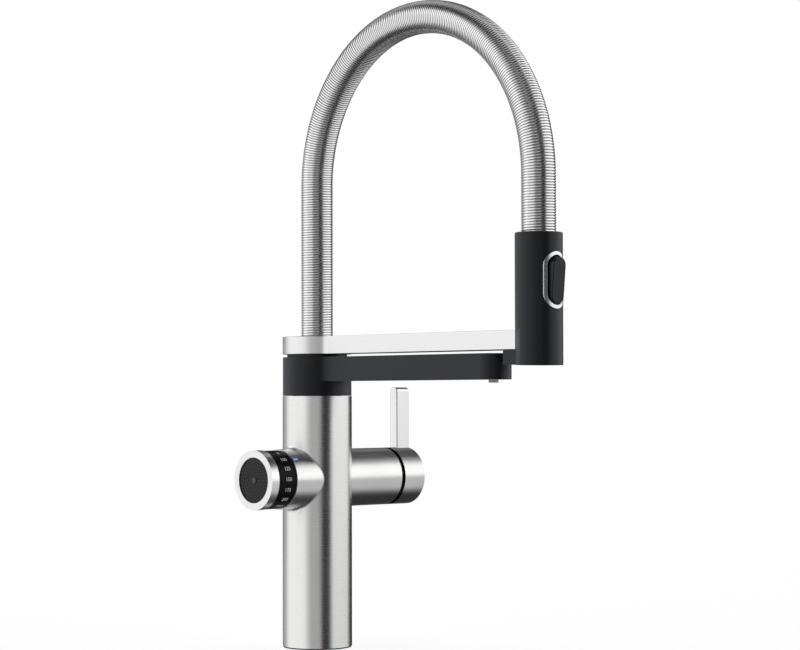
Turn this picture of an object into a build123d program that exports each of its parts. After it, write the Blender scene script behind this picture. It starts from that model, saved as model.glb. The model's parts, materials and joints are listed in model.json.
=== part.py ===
from build123d import *
import math
import os

os.makedirs("parts", exist_ok=True)

# Water filter kitchen tap, in millimetres.
# Z is up, and the worktop is the plane Z = 0, with the column's axis on Z.
# The arms point to -Y, the mixer is on +X and the measuring knob is on -X.

# Clearances, all radial or per side
slip = 0.1
running = 0.06
small_gap = 0.2
overcut = 1.0

# Column
column_r = 27.0
column_wall = 2.0
column_top = 194.5
gasket_t = 1.0
gasket_inset = 0.6

# Fixing below the worktop
shank_r = 16.5
shank_wall = 3.0
shank_length = 62.0
shank_flange_t = 8.0
worktop = 30.0
clamp_width = 8.5
rubber_washer_t = 3.0
clamp_washer_t = 2.5
clamp_nut_t = 10.0
clamp_nut_gap = 1.0
clamp_nut_width = 11.5
clamp_nut_sides = 6
clamp_screw_r = 2.4
clamp_screw_offset = 4.5
clamp_screw_length = 22.0
clamp_screw_head_r = 3.9
clamp_screw_head_t = 3.0
hex_sides = 6

# The cross axis carries the knob and the mixer
cross_z = 130.5

# Valve body
valve_gap = 4.0
valve_half_height = 27.0
valve_flat_x = 14.0
valve_stem_wall = 2.5
valve_boss_length = 20.0
water_ways = 3
inlet_r = 3.5
inlet_wall = 1.5
inlet_depth = 14.0
inlet_pitch_r = 7.3
port_r = 3.0
port_depth = 8.0
port_pitch_r = 9.0

# Risers between the valve body and the swivel post
mixed_riser_r = 6.0
mixed_riser_wall = 1.5
filter_riser_r = 3.5
filter_riser_wall = 1.3
filter_riser_depth = 6.5
riser_socket = 6.0

# Swivel post
post_plug = 14.5
journal_inset = 8.0
hub_step = 6.5
post_hub_length = 7.0
post_bore_r = 7.0
nipple_shoulder = 1.0
bush_wall = 1.5
snap_ring_t = 1.0
snap_ring_depth = 1.0
snap_ring_lip = 0.9
snap_ring_height = 4.5
seal_groove_depth = 2.0
seal_groove_w = 2.2
seal_r = 0.95
seal_gap = 0.07
seal_spacing = 15.0
water_groove_w = 6.0

# Filter arm with its collar
collar_inset = 0.2
collar_height = 30.2
collar_bottom_gap = 0.2
arm_half_width = 13.0
filter_arm_height = 18.7
filter_setback = 45.0
filter_arm_wall = 2.0
arm_root_r = 8.0
cover_t = 2.0
cover_ledge = 1.0
filter_cavity_gap = 2.0
filter_block = 10.0
filter_tube_r = 2.5
filter_tube_bore_r = 1.7
nozzle_thread_r = 4.0
nozzle_tip_r = 3.6
nozzle_depth = 8.0
nozzle_drop = 2.3

# Neck and spout arm
neck_height = 2.2
neck_inset = 3.6
neck_play = 0.1
spout_height = 13.7
spout_reach = 238.0
spout_wall = 2.5
spout_edge = 0.5
spout_cavity_gap = 3.0
hose_seat_depth = 4.0

# Dock block under the end of the spout arm
dock_block_length = 12.0
dock_block_height = 10.7
magnet_r = 4.0
magnet_t = 4.0
magnet_spacing = 13.0

# Wound hose and the water hose inside it
hose_r = 12.3
hose_valley = 0.8
hose_wall = 2.8
hose_leg = 117.8
arch_shares = (1.008, 0.954, 1.008)
hose_ribs = 196
hose_end_run = 1.0
rib_rise = 0.2
rib_fall = 0.6
rib_foot = 0.8
water_hose_r = 7.5
water_hose_bore_r = 4.3
barb_length = 12.0
barb_bore_r = 3.2

# Spray head
spray_r = 17.0
spray_drop = 11.2
spray_length = 93.3
spray_wall = 2.5
spray_cap_t = 4.0
spray_top_edge = 0.8
dock_flat_height = 25.5
dock_wall = 2.0
side_flat_angle = 62.9
side_flat_depth = 0.65
core_r = 7.0
core_bore_r = 3.2
core_socket = 6.0
core_chamber_r = 6.0
core_chamber_depth = 1.5
connector_t = 5.0
connector_tube_r = 5.0
connector_gap = 4.0
face_recess = 0.3
face_t = 5.5
spray_hole_r = 0.5
spray_holes = 16
spray_hole_pitch_r = 6.0
spray_channel_w = 1.6
spray_channel_depth = 3.5
aerator_r = 4.6
aerator_hole_r = 0.6
aerator_ring_r = 1.6
aerator_rings = 2
keeper_t = 1.4
keeper_half_width = 8.0
keeper_height = 18.0

# Rocker button in the front of the spray head
button_height = 59.3
bezel_half_width = 10.2
bezel_half_height = 20.0
bezel_band = 2.4
bezel_proud = 0.5
rocker_half_width = 6.25
rocker_half_height = 16.5
rocker_tilt = 5.2
rocker_proud = 6.6
rocker_back = 2.0
rocker_edge = 0.7
rocker_pin_r = 1.0
rocker_pin_depth = 4.2
rocker_pin_hold = 1.05
diverter_half_width = 2.0
diverter_half_height = 2.5
diverter_tip = 4.5
diverter_side_gap = 1.0
diverter_end_gap = 2.5

# Measuring knob, out from the column's axis
boss_r = 23.3
boss_wall = 2.0
boss_end = 39.8
boss_fillet = 2.5
dial_inset = 0.9
dial_length = 17.5
dial_wall = 2.9
dial_web_t = 7.0
dial_grooves = 17
dial_groove_w = 0.5
dial_groove_depth = 0.25
rim_inset = 0.5
rim_length = 6.9
rim_band = 5.4
rim_ledge = 2.4
rim_ledge_t = 2.5
disc_t = 1.4
disc_recess = 0.8
disc_hole_r = 0.35
disc_hole_rings = 5
disc_ring_step = 2.6
disc_first_ring_r = 5.0
disc_first_ring_holes = 12
disc_more_holes = 6
button_travel = 1.0
lens_r = 2.6
lens_t = 0.5
lens_edge = 0.3
plunger_r = 2.5
plunger_length = 16.0
core_flange_r = 12.0
core_flange_t = 6.0
spigot_r = 8.0
spigot_setback = 1.3
bearing_wall = 2.0
board_depth = 9.8
board_gap = 2.3
board_t = 1.6
spring_wire_r = 0.4
spring_coil_r = 4.0
spring_turns = 4
mark_angle = 43.0
mark_length = 5.0
mark_width = 1.7
mark_inset = 0.6

# Mixer, out from the column's axis
mixer_r = 22.7
mixer_wall = 2.7
mixer_end = 70.6
mixer_gap = 2.2
cartridge_gap = 2.6
cartridge_setback = 10.6
nut_setback = 2.6
nut_relief = 1.0
rotor_r = 9.6
rotor_depth = 12.5
rotor_proud = 2.0
rotor_floor = 2.0
rotor_slot_half_height = 7.5
pivot_setback = 14.8
stem_half = 4.0
stem_tail = 4.3
stem_pin_r = 1.5
stem_pin_length = 17.0
cap_length = 21.7
cap_rim_wall = 1.2
cap_recess = 6.2
cap_boss_r = 7.0
cap_boss_setback = 1.7
cap_edge = 0.5
cap_front_t = 8.5
blade_width = 13.5
blade_thickness = 8.6
blade_height = 70.9
blade_seat = 15.5
blade_top_r = 3.0
blade_edge = 0.9
grub_r = 2.0
grub_length = 8.0
grub_setback = 10.5

# Places worked out from the sizes above
column_bore_r = column_r - column_wall
shank_bore_r = shank_r - shank_wall
flange_top = gasket_t + shank_flange_t
clamp_r = shank_r + clamp_width
clamp_nut_corner_r = shank_r + clamp_nut_width
clamp_screw_pitch_r = shank_r + clamp_screw_offset
rubber_washer_z = -worktop - rubber_washer_t
clamp_washer_z = rubber_washer_z - clamp_washer_t
clamp_nut_z = clamp_washer_z - clamp_nut_gap - clamp_nut_t
valve_r = column_bore_r - valve_gap
valve_bottom = cross_z - valve_half_height
valve_top = cross_z + valve_half_height
post_bottom = column_top - post_plug
post_journal_r = column_r - journal_inset
post_hub_r = post_journal_r - hub_step
filter_channel_y = filter_riser_depth - post_journal_r
riser_start = valve_top - riser_socket
riser_length = post_bottom + riser_socket - riser_start
collar_r = column_r - collar_inset
collar_bottom = column_top + collar_bottom_gap
collar_top = column_top + collar_height
neck_r = column_r - neck_inset
spout_bottom = collar_top + neck_height
spout_top = spout_bottom + spout_height
hub_top = spout_bottom + post_hub_length
hose_seat_z = spout_top - hose_seat_depth
snap_ring_z = spout_bottom + snap_ring_height
filter_arm_bottom = collar_top - filter_arm_height
filter_arm_mid = filter_arm_bottom + filter_arm_height / 2
filter_reach = spout_reach - filter_setback
filter_cavity_start = column_r + filter_cavity_gap
filter_cavity_end = filter_reach - filter_block
filter_cavity_mid = (filter_cavity_start + filter_cavity_end) / 2
filter_cavity_length = filter_cavity_end - filter_cavity_start
filter_tube_start = filter_cavity_start - filter_block / 2
filter_tube_length = filter_cavity_length + filter_block
spray_bottom = spout_bottom - spray_drop
spray_top = spray_bottom + spray_length
spray_bore_r = spray_r - spray_wall
hose_end_z = spray_top - spray_cap_t
hose_bore_r = hose_r - hose_wall
hose_shoulder_z = spout_top + hose_leg
arch_r = spout_reach / 2
arch_step = math.pi / (len(arch_shares) + 1)
dock_flat = math.sqrt(spray_r**2 - arm_half_width**2)
dock_flat_y = -spout_reach + dock_flat
dock_flat_top = spray_bottom + dock_flat_height
dock_block_bottom = spout_bottom - dock_block_height
dock_block_mid = spout_bottom - dock_block_height / 2
spout_cavity_start = column_r + spout_cavity_gap
spout_cavity_end = -dock_flat_y - dock_block_length - spout_wall
spout_cavity_mid = (spout_cavity_start + spout_cavity_end) / 2
spout_cavity_length = spout_cavity_end - spout_cavity_start
face_bottom = spray_bottom + face_recess
face_top = face_bottom + face_t
button_z = spray_bottom + button_height
connector_bottom = hose_end_z - connector_t
connector_tube_end = button_z + diverter_half_height + diverter_end_gap + connector_gap
core_top = connector_tube_end + core_socket
rocker_pin_y = -spout_reach - spray_r + rocker_pin_depth
rocker_pin_length = 2 * (bezel_half_width - rocker_pin_hold)
diverter_length = spray_r - rocker_pin_depth - rocker_back - diverter_tip
dial_r = boss_r - dial_inset
dial_end = boss_end + dial_length
dial_start = boss_end + small_gap
rim_r = boss_r - rim_inset
rim_end = dial_end + rim_length
disc_r = rim_r - rim_band
rim_ledge_r = disc_r - rim_ledge
disc_front = rim_end - disc_recess
disc_back = disc_front - disc_t
spigot_end = dial_end - spigot_setback
board_x = boss_end - board_depth
board_r = boss_r - boss_wall - board_gap
spring_height = disc_back - spigot_end - 2 * spring_wire_r - 2 * slip
mixer_bore_r = mixer_r - mixer_wall
cartridge_start = valve_flat_x + valve_boss_length
cartridge_end = mixer_end - cartridge_setback
cartridge_r = mixer_bore_r - cartridge_gap
nut_end = mixer_end - nut_setback
rotor_start = cartridge_end - rotor_depth
rotor_end = cartridge_end + rotor_proud
lever_pivot_x = mixer_end - pivot_setback
stem_start = lever_pivot_x - stem_tail
cap_start = mixer_end + mixer_gap
cap_end = cap_start + cap_length
stem_end = cap_end - cap_front_t
grub_x = cap_end - grub_setback
blade_x = cap_end - blade_width / 2
blade_top = cross_z + blade_height
lever_foot_z = cross_z + blade_seat

knob_plane = Plane(origin=(0, 0, cross_z), x_dir=(0, -1, 0), z_dir=(-1, 0, 0))
mixer_plane = Plane(origin=(0, 0, cross_z), x_dir=(0, 1, 0), z_dir=(1, 0, 0))
spray_plane = Plane(origin=(0, -spout_reach, 0), x_dir=(1, 0, 0), z_dir=(0, 0, 1))
button_plane = Plane(origin=(0, -spout_reach, button_z), x_dir=(1, 0, 0), z_dir=(0, -1, 0))

# Column, with a hole for each end of the cross axis
with BuildPart() as body_tube:
    with BuildSketch(Plane.XY.offset(gasket_t)):
        Circle(column_r)
        Circle(column_bore_r, mode=Mode.SUBTRACT)
    extrude(amount=column_top - gasket_t)
    with BuildSketch(knob_plane):
        Circle(boss_r - boss_wall)
    extrude(amount=column_r + overcut, mode=Mode.SUBTRACT)
    with BuildSketch(mixer_plane):
        Circle(mixer_r + slip)
    extrude(amount=column_r + overcut, mode=Mode.SUBTRACT)
body_tube.part.label = "body_tube"
export_step(body_tube.part, "parts/body_tube.step")

# Boss of the measuring knob, brazed to the column and blended into it
mark_plane = Plane(
    origin=(-boss_end, 0, cross_z),
    x_dir=(1, 0, 0),
    z_dir=(0, -math.cos(math.radians(mark_angle)), math.sin(math.radians(mark_angle))),
)
with BuildPart() as knob_boss:
    with BuildSketch(Plane.XY.offset(gasket_t)):
        Circle(column_r)
    extrude(amount=column_top - gasket_t)
    with BuildSketch(knob_plane):
        Circle(boss_r)
    extrude(amount=boss_end)
    plain_edges = (GeomType.CIRCLE, GeomType.LINE)
    fillet(knob_boss.edges().filter_by(lambda e: e.geom_type not in plain_edges), radius=boss_fillet)
    with BuildSketch(Plane.XY.offset(gasket_t)):
        Circle(column_r)
    extrude(amount=column_top - gasket_t, mode=Mode.SUBTRACT)
    with BuildSketch(knob_plane):
        Circle(boss_r - boss_wall)
    extrude(amount=boss_end, mode=Mode.SUBTRACT)
    with BuildSketch(mark_plane):
        with Locations((mark_inset + mark_length / 2, 0)):
            SlotOverall(mark_length, mark_width)
    extrude(amount=boss_r + overcut, mode=Mode.SUBTRACT)
knob_boss.part.label = "knob_boss"
export_step(knob_boss.part, "parts/knob_boss.step")

# Lit mark that points at the set amount
with BuildPart() as light_mark:
    with BuildSketch(mark_plane):
        with Locations((mark_inset + mark_length / 2, 0)):
            SlotOverall(mark_length - small_gap, mark_width - small_gap)
    extrude(amount=boss_r)
    with BuildSketch(knob_plane):
        Circle(boss_r)
        Circle(boss_r - boss_wall, mode=Mode.SUBTRACT)
    extrude(amount=boss_end, mode=Mode.INTERSECT)
light_mark.part.label = "light_mark"
export_step(light_mark.part, "parts/light_mark.step")

# Flat gasket between the column and the worktop
with BuildPart() as base_gasket:
    with BuildSketch(Plane.XY):
        Circle(column_r - gasket_inset)
        Circle(shank_r + slip, mode=Mode.SUBTRACT)
    extrude(amount=gasket_t)
base_gasket.part.label = "base_gasket"
export_step(base_gasket.part, "parts/base_gasket.step")

# Threaded shank with the flange that carries the column
with BuildPart() as mounting_shank:
    with BuildSketch(Plane.XY.offset(gasket_t)):
        Circle(column_bore_r - slip)
    extrude(amount=shank_flange_t)
    with BuildSketch(Plane.XY.offset(gasket_t)):
        Circle(shank_r)
    extrude(amount=-(shank_length + gasket_t))
    with BuildSketch(Plane.XY.offset(flange_top)):
        Circle(shank_bore_r)
    extrude(amount=-(shank_length + flange_top), mode=Mode.SUBTRACT)
mounting_shank.part.label = "mounting_shank"
export_step(mounting_shank.part, "parts/mounting_shank.step")

# Washers, nut and screws that clamp the shank from below the worktop
with BuildPart() as rubber_washer:
    with BuildSketch(Plane.XY.offset(rubber_washer_z)):
        Circle(clamp_r)
        Circle(shank_r + small_gap, mode=Mode.SUBTRACT)
    extrude(amount=rubber_washer_t)
rubber_washer.part.label = "rubber_washer"
export_step(rubber_washer.part, "parts/rubber_washer.step")

with BuildPart() as clamp_washer:
    with BuildSketch(Plane.XY.offset(clamp_washer_z)):
        Circle(clamp_r)
        Circle(shank_r + small_gap, mode=Mode.SUBTRACT)
    extrude(amount=clamp_washer_t)
clamp_washer.part.label = "clamp_washer"
export_step(clamp_washer.part, "parts/clamp_washer.step")

with BuildPart() as clamp_nut:
    with BuildSketch(Plane.XY.offset(clamp_nut_z)):
        RegularPolygon(clamp_nut_corner_r, clamp_nut_sides)
        Circle(shank_r + slip, mode=Mode.SUBTRACT)
        with PolarLocations(clamp_screw_pitch_r, 2):
            Circle(clamp_screw_r + slip, mode=Mode.SUBTRACT)
    extrude(amount=clamp_nut_t)
clamp_nut.part.label = "clamp_nut"
export_step(clamp_nut.part, "parts/clamp_nut.step")

with BuildPart() as clamp_screws:
    with BuildSketch(Plane.XY.offset(clamp_washer_z)):
        with PolarLocations(clamp_screw_pitch_r, 2):
            Circle(clamp_screw_r)
    extrude(amount=-clamp_screw_length)
    with BuildSketch(Plane.XY.offset(clamp_washer_z - clamp_screw_length)):
        with PolarLocations(clamp_screw_pitch_r, 2):
            Circle(clamp_screw_head_r)
            RegularPolygon(clamp_screw_r, hex_sides, mode=Mode.SUBTRACT)
    extrude(amount=clamp_screw_head_t)
clamp_screws.part.label = "clamp_screws"
export_step(clamp_screws.part, "parts/clamp_screws.step")

# Brass valve body that stands on the shank's flange
with BuildPart() as valve_body:
    with BuildSketch(Plane.XY.offset(valve_bottom)):
        Circle(valve_r)
        Rectangle(2 * valve_flat_x, 2 * valve_r, mode=Mode.INTERSECT)
    extrude(amount=valve_top - valve_bottom)
    with BuildSketch(mixer_plane):
        Circle(mixer_bore_r - small_gap)
    extrude(amount=valve_flat_x + valve_boss_length)
    with BuildSketch(Plane.XY.offset(flange_top)):
        Circle(shank_bore_r + valve_stem_wall - small_gap)
    extrude(amount=valve_bottom - flange_top)
    with BuildSketch(Plane.XY.offset(flange_top)):
        Circle(shank_bore_r)
    extrude(amount=valve_bottom - flange_top, mode=Mode.SUBTRACT)
    with BuildSketch(Plane.XY.offset(valve_bottom)):
        with PolarLocations(inlet_pitch_r, water_ways, start_angle=90):
            Circle(inlet_r + inlet_wall + slip)
    extrude(amount=inlet_depth, mode=Mode.SUBTRACT)
    with BuildSketch(mixer_plane.offset(valve_flat_x + valve_boss_length)):
        with PolarLocations(port_pitch_r, water_ways, start_angle=90):
            Circle(port_r)
    extrude(amount=-port_depth, mode=Mode.SUBTRACT)
    with BuildSketch(Plane.XY.offset(valve_top)):
        Circle(mixed_riser_r + slip)
        with Locations((0, filter_channel_y)):
            Circle(filter_riser_r + slip)
    extrude(amount=-riser_socket, mode=Mode.SUBTRACT)
valve_body.part.label = "valve_body"
export_step(valve_body.part, "parts/valve_body.step")

# Sockets in the valve body that take the hot, cold and filtered supply hoses
with BuildPart() as inlet_sockets:
    with BuildSketch(Plane.XY.offset(valve_bottom)):
        with PolarLocations(inlet_pitch_r, water_ways, start_angle=90):
            Circle(inlet_r + inlet_wall)
            Circle(inlet_r, mode=Mode.SUBTRACT)
    extrude(amount=inlet_depth)
inlet_sockets.part.label = "inlet_sockets"
export_step(inlet_sockets.part, "parts/inlet_sockets.step")

with BuildPart() as mixed_riser:
    with BuildSketch(Plane.XY.offset(riser_start)):
        Circle(mixed_riser_r)
        Circle(mixed_riser_r - mixed_riser_wall, mode=Mode.SUBTRACT)
    extrude(amount=riser_length)
mixed_riser.part.label = "mixed_riser"
export_step(mixed_riser.part, "parts/mixed_riser.step")

with BuildPart() as filter_riser:
    with BuildSketch(Plane.XY.offset(riser_start)):
        with Locations((0, filter_channel_y)):
            Circle(filter_riser_r)
            Circle(filter_riser_r - filter_riser_wall, mode=Mode.SUBTRACT)
    extrude(amount=riser_length)
filter_riser.part.label = "filter_riser"
export_step(filter_riser.part, "parts/filter_riser.step")

# Post in the column's top, which both arms turn on
seal_offsets = (-seal_spacing / 2, seal_spacing / 2)
with BuildPart() as swivel_post:
    with BuildSketch(Plane.XY.offset(post_bottom)):
        Circle(column_bore_r - slip)
    extrude(amount=post_plug)
    with BuildSketch(Plane.XY.offset(column_top)):
        Circle(post_journal_r)
    extrude(amount=spout_bottom - column_top)
    with BuildSketch(Plane.XY.offset(spout_bottom)):
        Circle(post_hub_r)
    extrude(amount=post_hub_length - neck_play)
    with BuildSketch(Plane.XY.offset(snap_ring_z)):
        Circle(post_hub_r + overcut)
        Circle(post_hub_r - snap_ring_depth, mode=Mode.SUBTRACT)
    extrude(amount=snap_ring_t + small_gap, mode=Mode.SUBTRACT)
    for dz in seal_offsets:
        with BuildSketch(Plane.XY.offset(filter_arm_mid + dz - seal_groove_w / 2)):
            Circle(post_journal_r + overcut)
            Circle(post_journal_r - seal_groove_depth, mode=Mode.SUBTRACT)
        extrude(amount=seal_groove_w, mode=Mode.SUBTRACT)
    with BuildSketch(Plane.XY.offset(filter_arm_mid - water_groove_w / 2)):
        Circle(post_journal_r + overcut)
        Circle(post_journal_r - seal_groove_depth, mode=Mode.SUBTRACT)
    extrude(amount=water_groove_w, mode=Mode.SUBTRACT)
    with BuildSketch(Plane.XY.offset(post_bottom)):
        Circle(mixed_riser_r + slip)
        with Locations((0, filter_channel_y)):
            Circle(filter_riser_r + slip)
    extrude(amount=riser_socket, mode=Mode.SUBTRACT)
    with BuildSketch(Plane.XY.offset(post_bottom + riser_socket)):
        Circle(mixed_riser_r - mixed_riser_wall)
    extrude(amount=hub_top - post_bottom, mode=Mode.SUBTRACT)
    with BuildSketch(Plane.XY.offset(column_top)):
        Circle(post_bore_r)
    extrude(amount=hub_top - column_top, mode=Mode.SUBTRACT)
    with BuildSketch(Plane.XY.offset(post_bottom + riser_socket)):
        with Locations((0, filter_channel_y)):
            Circle(filter_riser_r - filter_riser_wall)
    extrude(amount=filter_arm_mid - post_bottom - riser_socket, mode=Mode.SUBTRACT)
    with BuildSketch(Plane.XZ.offset(-filter_channel_y)):
        with Locations((0, filter_arm_mid)):
            Circle(filter_riser_r - filter_riser_wall)
    extrude(amount=post_journal_r + filter_channel_y, mode=Mode.SUBTRACT)
swivel_post.part.label = "swivel_post"
export_step(swivel_post.part, "parts/swivel_post.step")

with BuildPart() as collar_seals:
    with BuildSketch(Plane.XZ):
        for dz in seal_offsets:
            with Locations((post_journal_r - seal_r - seal_gap, filter_arm_mid + dz)):
                Circle(seal_r)
    revolve(axis=Axis.Z)
collar_seals.part.label = "collar_seals"
export_step(collar_seals.part, "parts/collar_seals.step")

with BuildPart() as neck_spacer:
    with BuildSketch(Plane.XY.offset(collar_top + neck_play)):
        Circle(neck_r)
        Circle(post_journal_r + slip, mode=Mode.SUBTRACT)
    extrude(amount=neck_height - 2 * neck_play)
neck_spacer.part.label = "neck_spacer"
export_step(neck_spacer.part, "parts/neck_spacer.step")

# Bush between the post and the spout's hub, held down by a snap ring
with BuildPart() as spout_bush:
    with BuildSketch(Plane.XY.offset(spout_bottom)):
        Circle(post_hub_r + running + bush_wall)
        Circle(post_hub_r + running, mode=Mode.SUBTRACT)
    extrude(amount=post_hub_length - neck_play)
    with BuildSketch(Plane.XY.offset(snap_ring_z)):
        Circle(post_hub_r + snap_ring_lip + slip)
    extrude(amount=snap_ring_t + small_gap, mode=Mode.SUBTRACT)
spout_bush.part.label = "spout_bush"
export_step(spout_bush.part, "parts/spout_bush.step")

with BuildPart() as snap_ring:
    with BuildSketch(Plane.XY.offset(snap_ring_z + small_gap / 2)):
        Circle(post_hub_r + snap_ring_lip)
        Circle(post_hub_r - snap_ring_depth + slip, mode=Mode.SUBTRACT)
    extrude(amount=snap_ring_t)
snap_ring.part.label = "snap_ring"
export_step(snap_ring.part, "parts/snap_ring.step")

# Filter arm: collar and arm in one casting, open below for its water tube
with BuildPart() as filter_arm:
    with BuildSketch(Plane.XY.offset(collar_bottom)):
        Circle(collar_r)
    extrude(amount=collar_top - collar_bottom)
    with BuildSketch(Plane.XY.offset(filter_arm_bottom)):
        with Locations((0, -filter_reach / 2)):
            Rectangle(2 * arm_half_width, filter_reach)
        with Locations((0, -filter_reach)):
            Circle(arm_half_width)
    extrude(amount=filter_arm_height)
    root_edges = filter_arm.edges().filter_by(Axis.Z)
    root_edges = root_edges.filter_by(lambda e: -collar_r < e.center().Y < -collar_r / 2)
    fillet(root_edges, radius=arm_root_r)
    with BuildSketch(Plane.XY.offset(filter_arm_bottom)):
        with Locations((0, -filter_cavity_mid)):
            Rectangle(2 * (arm_half_width - filter_arm_wall), filter_cavity_length)
    extrude(amount=filter_arm_height - filter_arm_wall, mode=Mode.SUBTRACT)
    with BuildSketch(Plane.XY.offset(filter_arm_bottom)):
        with Locations((0, -filter_cavity_mid)):
            Rectangle(
                2 * (arm_half_width - filter_arm_wall + cover_ledge),
                filter_cavity_length + 2 * cover_ledge,
            )
    extrude(amount=cover_t, mode=Mode.SUBTRACT)
    with BuildSketch(Plane.XY.offset(collar_bottom)):
        Circle(post_journal_r + running)
    extrude(amount=collar_top - collar_bottom, mode=Mode.SUBTRACT)
    with BuildSketch(Plane.XZ.offset(post_journal_r)):
        with Locations((0, filter_arm_mid)):
            Circle(filter_tube_bore_r)
    extrude(amount=filter_reach - post_journal_r, mode=Mode.SUBTRACT)
    with BuildSketch(Plane.XZ.offset(filter_tube_start)):
        with Locations((0, filter_arm_mid)):
            Circle(filter_tube_r + slip)
    extrude(amount=filter_tube_length, mode=Mode.SUBTRACT)
    with BuildSketch(Plane.XY.offset(filter_arm_bottom)):
        with Locations((0, -filter_reach)):
            Circle(nozzle_thread_r)
    extrude(amount=filter_arm_height / 2, mode=Mode.SUBTRACT)
filter_arm.part.label = "filter_arm"
export_step(filter_arm.part, "parts/filter_arm.step")

with BuildPart() as filter_arm_cover:
    with BuildSketch(Plane.XY.offset(filter_arm_bottom)):
        with Locations((0, -filter_cavity_mid)):
            Rectangle(
                2 * (arm_half_width - filter_arm_wall + cover_ledge - slip),
                filter_cavity_length + 2 * (cover_ledge - slip),
            )
    extrude(amount=cover_t)
filter_arm_cover.part.label = "filter_arm_cover"
export_step(filter_arm_cover.part, "parts/filter_arm_cover.step")

with BuildPart() as filter_tube:
    with BuildSketch(Plane.XZ.offset(filter_tube_start)):
        with Locations((0, filter_arm_mid)):
            Circle(filter_tube_r)
            Circle(filter_tube_bore_r, mode=Mode.SUBTRACT)
    extrude(amount=filter_tube_length)
filter_tube.part.label = "filter_tube"
export_step(filter_tube.part, "parts/filter_tube.step")

with BuildPart() as filter_nozzle:
    with BuildSketch(Plane.XY.offset(filter_arm_bottom)):
        with Locations((0, -filter_reach)):
            Circle(nozzle_thread_r - slip)
    extrude(amount=nozzle_depth)
    with BuildSketch(Plane.XY.offset(filter_arm_bottom)):
        with Locations((0, -filter_reach)):
            Circle(nozzle_tip_r)
    extrude(amount=-nozzle_drop)
    with BuildSketch(Plane.XY.offset(filter_arm_bottom - nozzle_drop)):
        with Locations((0, -filter_reach)):
            Circle(filter_tube_bore_r)
    extrude(amount=nozzle_depth + nozzle_drop, mode=Mode.SUBTRACT)
filter_nozzle.part.label = "filter_nozzle"
export_step(filter_nozzle.part, "parts/filter_nozzle.step")

# Spout arm: round hub and flat bar, open below
with BuildPart() as spout_arm:
    with BuildSketch(Plane.XY.offset(spout_bottom)):
        Circle(column_r)
        with Locations((0, dock_flat_y / 2)):
            Rectangle(2 * arm_half_width, -dock_flat_y)
    extrude(amount=spout_height)
    root_edges = spout_arm.edges().filter_by(Axis.Z)
    root_edges = root_edges.filter_by(lambda e: -column_r < e.center().Y < -column_r / 2)
    fillet(root_edges, radius=arm_root_r)
    flat_faces = spout_arm.faces().sort_by(Axis.Z)
    fillet(flat_faces[-1].edges() + flat_faces[0].edges(), radius=spout_edge)
    with BuildSketch(Plane.XY.offset(spout_bottom)):
        with Locations((0, -spout_cavity_mid)):
            Rectangle(2 * (arm_half_width - spout_wall), spout_cavity_length)
    extrude(amount=spout_height - spout_wall, mode=Mode.SUBTRACT)
    with BuildSketch(Plane.XY.offset(spout_bottom)):
        with Locations((0, -spout_cavity_mid)):
            Rectangle(
                2 * (arm_half_width - spout_wall + cover_ledge),
                spout_cavity_length + 2 * cover_ledge,
            )
    extrude(amount=cover_t, mode=Mode.SUBTRACT)
    with BuildSketch(Plane.XY.offset(spout_bottom)):
        Circle(post_hub_r + running + bush_wall + slip)
    extrude(amount=post_hub_length, mode=Mode.SUBTRACT)
    with BuildSketch(Plane.XY.offset(spout_bottom)):
        Circle(post_bore_r + nipple_shoulder)
    extrude(amount=spout_height, mode=Mode.SUBTRACT)
    with BuildSketch(Plane.XY.offset(hose_seat_z)):
        Circle(hose_r + small_gap)
    extrude(amount=hose_seat_depth, mode=Mode.SUBTRACT)
spout_arm.part.label = "spout_arm"
export_step(spout_arm.part, "parts/spout_arm.step")

with BuildPart() as spout_arm_cover:
    with BuildSketch(Plane.XY.offset(spout_bottom)):
        with Locations((0, -spout_cavity_mid)):
            Rectangle(
                2 * (arm_half_width - spout_wall + cover_ledge - slip),
                spout_cavity_length + 2 * (cover_ledge - slip),
            )
    extrude(amount=cover_t)
spout_arm_cover.part.label = "spout_arm_cover"
export_step(spout_arm_cover.part, "parts/spout_arm_cover.step")

# Nipple that turns in the post and feeds the water hose
with BuildPart() as hose_nipple:
    with BuildSketch(Plane.XY.offset(spout_bottom)):
        Circle(post_bore_r - running)
    extrude(amount=post_hub_length)
    with BuildSketch(Plane.XY.offset(hub_top)):
        Circle(post_bore_r + nipple_shoulder - running)
    extrude(amount=hose_seat_z - hub_top)
    with BuildSketch(Plane.XY.offset(hose_seat_z)):
        Circle(water_hose_bore_r - slip)
    extrude(amount=barb_length)
    with BuildSketch(Plane.XY.offset(spout_bottom)):
        Circle(barb_bore_r)
    extrude(amount=hose_seat_z + barb_length - spout_bottom, mode=Mode.SUBTRACT)
hose_nipple.part.label = "hose_nipple"
export_step(hose_nipple.part, "parts/hose_nipple.step")

# Dock block with the magnets that hold the spray head
with BuildPart() as dock_block:
    with BuildSketch(Plane.XY.offset(dock_block_bottom)):
        with Locations((0, dock_flat_y + dock_block_length / 2)):
            Rectangle(2 * arm_half_width, dock_block_length)
    extrude(amount=dock_block_height)
    with BuildSketch(Plane.XZ.offset(-dock_flat_y)):
        with Locations((-magnet_spacing / 2, dock_block_mid), (magnet_spacing / 2, dock_block_mid)):
            Circle(magnet_r + slip)
    extrude(amount=-magnet_t, mode=Mode.SUBTRACT)
dock_block.part.label = "dock_block"
export_step(dock_block.part, "parts/dock_block.step")

with BuildPart() as dock_magnets:
    with BuildSketch(Plane.XZ.offset(-dock_flat_y)):
        with Locations((-magnet_spacing / 2, dock_block_mid), (magnet_spacing / 2, dock_block_mid)):
            Circle(magnet_r)
    extrude(amount=-magnet_t)
dock_magnets.part.label = "dock_magnets"
export_step(dock_magnets.part, "parts/dock_magnets.step")


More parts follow.
